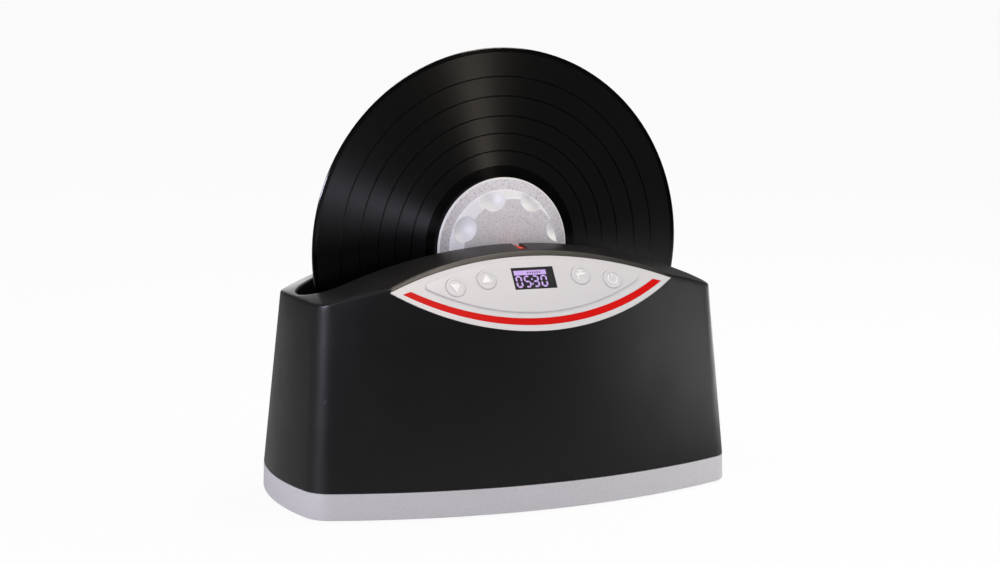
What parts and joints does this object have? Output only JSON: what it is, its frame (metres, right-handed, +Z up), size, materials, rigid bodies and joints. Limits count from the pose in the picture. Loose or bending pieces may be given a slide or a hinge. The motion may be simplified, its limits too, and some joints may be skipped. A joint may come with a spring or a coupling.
{
  "type": "ultrasonic record cleaning machine",
  "caption": "Upright ultrasonic record cleaner: a vinyl record in a round label clamp dips into a slot tank inside a bowed black casing with a slanted button panel.",
  "frame": {"origin": "on the table, under the middle of the base's outline", "axes": "+Z up, +X along the front to the right seen from the front, the control panel faces -Y; the record lies in a plane square to Y and turns about Y"},
  "size_m": [0.3582, 0.187, 0.3358],
  "materials": {
    "black_casing": "satin, finely moulded",
    "silver_base": "satin silver-grey, slightly speckled",
    "white_panel": "satin",
    "red_stripe": "gloss",
    "white_buttons": "satin",
    "dark_window": "gloss",
    "display": "gloss",
    "vinyl": "gloss",
    "clamp_silver": "satin silver, slightly speckled",
    "seal_rubber": "matt",
    "orange_bush": "matt",
    "steel": "brushed",
    "acetal": "matt",
    "motor_steel": "bright zinc",
    "aluminium": "machined",
    "ceramic": "silvered ceramic",
    "brass": "machined",
    "coil_black": "matt",
    "spigot_grey": "matt",
    "circuit_board": "solder mask",
    "components": "matt",
    "foot_rubber": "matt",
    "gasket_rubber": "matt"
  },
  "bodies": {
    "root": {"base_screws": "motor_steel", "base_tray": "silver_base", "board_screws": "motor_steel", "button_board": "circuit_board", "button_switches": "components", "control_panel": "white_panel", "display_module": "display", "display_window": "dark_window", "drain_spigot": "spigot_grey", "drain_valve": "brass", "drive_motor": "motor_steel", "driver_board": "circuit_board", "driver_board_parts": "components", "housing_shell": "black_casing", "main_board": "circuit_board", "main_board_parts": "components", "motor_bracket": "motor_steel", "motor_gearbox": "acetal", "motor_screws": "motor_steel", "panel_screws": "motor_steel", "piezo_stacks": "ceramic", "power_socket": "coil_black", "red_stripe": "red_stripe", "rubber_feet": "foot_rubber", "socket_nut": "motor_steel", "tank": "steel", "tank_gasket": "gasket_rubber", "tank_outlet": "steel", "transducer_horns": "aluminium", "transducer_weights": "steel", "valve_coil": "coil_black"},
    "carriage": {"front_bush": "orange_bush", "rear_bush": "orange_bush"},
    "rotor": {"record": "vinyl", "front_seal": "seal_rubber", "rear_seal": "seal_rubber", "front_clamp": "clamp_silver", "rear_clamp": "clamp_silver", "front_clamp_cap": "clamp_silver", "rear_clamp_cap": "clamp_silver", "spindle": "motor_steel", "axle_pin": "motor_steel", "spindle_gear": "acetal"},
    "drive": {"output_shaft": "motor_steel", "drive_pinion": "acetal"},
    "down_button": {"down_button": "white_buttons"},
    "up_button": {"up_button": "white_buttons"},
    "tap_button": {"tap_button": "white_buttons"},
    "power_button": {"power_button": "white_buttons"}
  },
  "joints": [
    {"name": "carriage_lift", "type": "slide", "parent": "root", "child": "carriage", "axis": [0, 0, 1], "range_m": [0, 0.18]},
    {"name": "record_spin", "type": "hinge", "parent": "carriage", "child": "rotor", "pos_m": [0, -0.00225, 0.185], "axis": [0, 1, 0], "continuous": true},
    {"name": "motor_spin", "type": "hinge", "parent": "root", "child": "drive", "pos_m": [0, -0.00225, 0.1706], "axis": [0, 1, 0], "continuous": true},
    {"name": "down_press", "type": "slide", "parent": "root", "child": "down_button", "axis": [0, 0.8261, -0.5635], "range_m": [0, 0.0008], "stiffness_N_per_m": 500},
    {"name": "up_press", "type": "slide", "parent": "root", "child": "up_button", "axis": [0, 0.8261, -0.5635], "range_m": [0, 0.0008], "stiffness_N_per_m": 500},
    {"name": "tap_press", "type": "slide", "parent": "root", "child": "tap_button", "axis": [0, 0.8261, -0.5635], "range_m": [0, 0.0008], "stiffness_N_per_m": 500},
    {"name": "power_press", "type": "slide", "parent": "root", "child": "power_button", "axis": [0, 0.8261, -0.5635], "range_m": [0, 0.0008], "stiffness_N_per_m": 500}
  ],
  "couplings": [
    {"joint": "motor_spin", "follows": "record_spin", "ratio": -1.25}
  ]
}
